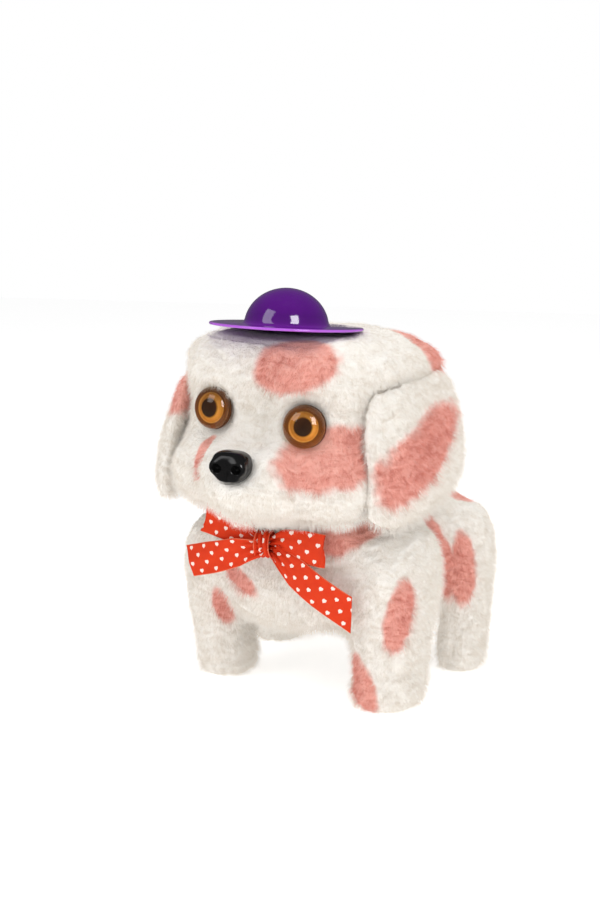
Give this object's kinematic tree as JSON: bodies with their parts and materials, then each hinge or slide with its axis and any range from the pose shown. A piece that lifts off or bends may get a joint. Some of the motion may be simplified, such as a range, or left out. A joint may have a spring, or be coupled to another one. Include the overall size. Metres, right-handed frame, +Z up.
{
  "type": "walking toy puppy",
  "caption": "Battery-driven plush puppy with swinging legs, loose ears, a wagging tail, a domed hat and a ribbon bow.",
  "frame": {"origin": "centre of the footprint of the whole toy, on the floor it stands on", "axes": "+Z up, the puppy faces -Y, +X to its own left"},
  "size_m": [0.131, 0.2114, 0.1925],
  "materials": {
    "plush": "short dense pile, cream with soft pink patches",
    "ribbon": "woven ribbon with small pale motifs",
    "hat": "glossy moulded purple",
    "nose": "glossy black",
    "amber": "clear amber moulding",
    "iris": "dark brown",
    "chassis": "pale moulded plastic",
    "lever": "pale moulded plastic",
    "gear": "natural acetal",
    "steel": "bright",
    "cell": "painted cell jacket",
    "board": "circuit board",
    "black": "black moulding",
    "wire": "insulated leads"
  },
  "bodies": {
    "puppy": {"body_plush": "plush", "head_plush": "plush", "head_frame": "chassis", "crown_stuffing": "plush", "eye_left_backing": "iris", "eye_left_lens": "amber", "eye_right_backing": "iris", "eye_right_lens": "amber", "eye_left_washer": "black", "eye_right_washer": "black", "nose": "nose", "nose_washer": "black", "hat": "hat", "hat_washer": "black", "bow_knot": "ribbon", "bow_loop_left": "ribbon", "bow_loop_right": "ribbon", "bow_tail_left": "ribbon", "bow_tail_right": "ribbon", "chassis_lower": "chassis", "chassis_upper": "chassis", "chassis_screw_front": "steel", "chassis_screw_rear": "steel", "front_axle": "steel", "rear_axle": "steel", "motor": "steel", "gear_frame": "chassis", "battery_left": "cell", "battery_right": "cell", "battery_bridge": "steel", "battery_contact_plus": "steel", "battery_contact_minus": "steel", "sound_board": "board", "speaker": "black", "power_switch": "black", "wire_loom": "wire"},
    "front_left_leg": {"leg_core_front_left": "lever", "leg_plush_front_left": "plush"},
    "front_right_leg": {"leg_core_front_right": "lever", "leg_plush_front_right": "plush"},
    "rear_left_leg": {"leg_core_rear_left": "lever", "leg_plush_rear_left": "plush"},
    "rear_right_leg": {"leg_core_rear_right": "lever", "leg_plush_rear_right": "plush"},
    "left_bar": {"drive_bar_left": "lever"},
    "right_bar": {"drive_bar_right": "lever"},
    "crank": {"crankshaft": "steel", "crank_disc_left": "gear", "crank_disc_right": "gear", "drive_gear": "gear"},
    "second_idler": {"second_idler_gear": "gear"},
    "first_idler": {"first_idler_gear": "gear"},
    "rotor": {"motor_pinion": "steel"},
    "tail": {"tail_core": "lever", "tail_plush": "plush"},
    "left_ear": {"ear_left": "plush"},
    "right_ear": {"ear_right": "plush"},
    "cover": {"battery_cover": "lever"},
    "cover_screw": {"cover_screw": "steel"},
    "switch_knob": {"power_switch_knob": "black"}
  },
  "joints": [
    {"name": "front_left_swing", "type": "hinge", "parent": "puppy", "child": "front_left_leg", "pos_m": [0.0005, -0.02965, 0.058], "axis": [1, 0, 0], "range_deg": [-0.6, 16.6]},
    {"name": "front_right_swing", "type": "hinge", "parent": "puppy", "child": "front_right_leg", "pos_m": [0.0005, -0.02965, 0.058], "axis": [1, 0, 0], "range_deg": [-16.7, 0.7]},
    {"name": "rear_left_swing", "type": "hinge", "parent": "puppy", "child": "rear_left_leg", "pos_m": [0.0005, 0.04335, 0.058], "axis": [1, 0, 0], "range_deg": [-0.4, 10.1]},
    {"name": "rear_right_swing", "type": "hinge", "parent": "puppy", "child": "rear_right_leg", "pos_m": [0.0005, 0.04335, 0.058], "axis": [1, 0, 0], "range_deg": [-10.1, 0.4]},
    {"name": "left_bar_slide", "type": "slide", "parent": "puppy", "child": "left_bar", "axis": [0, 1, 0], "range_m": [-0.0036, 0.0002]},
    {"name": "right_bar_slide", "type": "slide", "parent": "puppy", "child": "right_bar", "axis": [0, 1, 0], "range_m": [-0.0002, 0.0036]},
    {"name": "crank_spin", "type": "hinge", "parent": "puppy", "child": "crank", "pos_m": [0.0005, 0.00835, 0.058], "axis": [1, 0, 0], "continuous": true},
    {"name": "second_idler_spin", "type": "hinge", "parent": "puppy", "child": "second_idler", "pos_m": [0.0005, 0.01754, 0.06719], "axis": [1, 0, 0], "continuous": true},
    {"name": "first_idler_spin", "type": "hinge", "parent": "puppy", "child": "first_idler", "pos_m": [0.0005, 0.03051, 0.0681], "axis": [1, 0, 0], "continuous": true},
    {"name": "motor_spin", "type": "hinge", "parent": "puppy", "child": "rotor", "pos_m": [0.0005, 0.04273, 0.07254], "axis": [1, 0, 0], "continuous": true},
    {"name": "tail_wag", "type": "hinge", "parent": "puppy", "child": "tail", "pos_m": [0.0005, 0.05835, 0.072], "axis": [0, 0, 1], "range_deg": [-18, 18]},
    {"name": "left_ear_flap", "type": "hinge", "parent": "puppy", "child": "left_ear", "pos_m": [0.05959, -0.02165, 0.14797], "axis": [0, -1, 0], "range_deg": [0, 70]},
    {"name": "right_ear_flap", "type": "hinge", "parent": "puppy", "child": "right_ear", "pos_m": [-0.05325, -0.02165, 0.15389], "axis": [0, 1, 0], "range_deg": [0, 70]},
    {"name": "battery_cover_off", "type": "slide", "parent": "puppy", "child": "cover", "axis": [0, 0, -1], "range_m": [0, 0.02]},
    {"name": "cover_screw_out", "type": "slide", "parent": "cover", "child": "cover_screw", "axis": [0, 0, -1], "range_m": [0, 0.01]},
    {"name": "power_switch_slide", "type": "slide", "parent": "puppy", "child": "switch_knob", "axis": [1, 0, 0], "range_m": [0, 0.0035]}
  ],
  "couplings": [
    {"joint": "front_right_swing", "follows": "front_left_swing", "ratio": -1},
    {"joint": "rear_left_swing", "follows": "front_left_swing", "ratio": 0.6},
    {"joint": "rear_right_swing", "follows": "front_left_swing", "ratio": -0.6},
    {"joint": "left_bar_slide", "follows": "front_left_swing", "m_per_rad": -0.012},
    {"joint": "right_bar_slide", "follows": "front_left_swing", "m_per_rad": 0.012},
    {"joint": "second_idler_spin", "follows": "crank_spin", "ratio": -3},
    {"joint": "first_idler_spin", "follows": "crank_spin", "ratio": 9},
    {"joint": "motor_spin", "follows": "crank_spin", "ratio": -27}
  ]
}
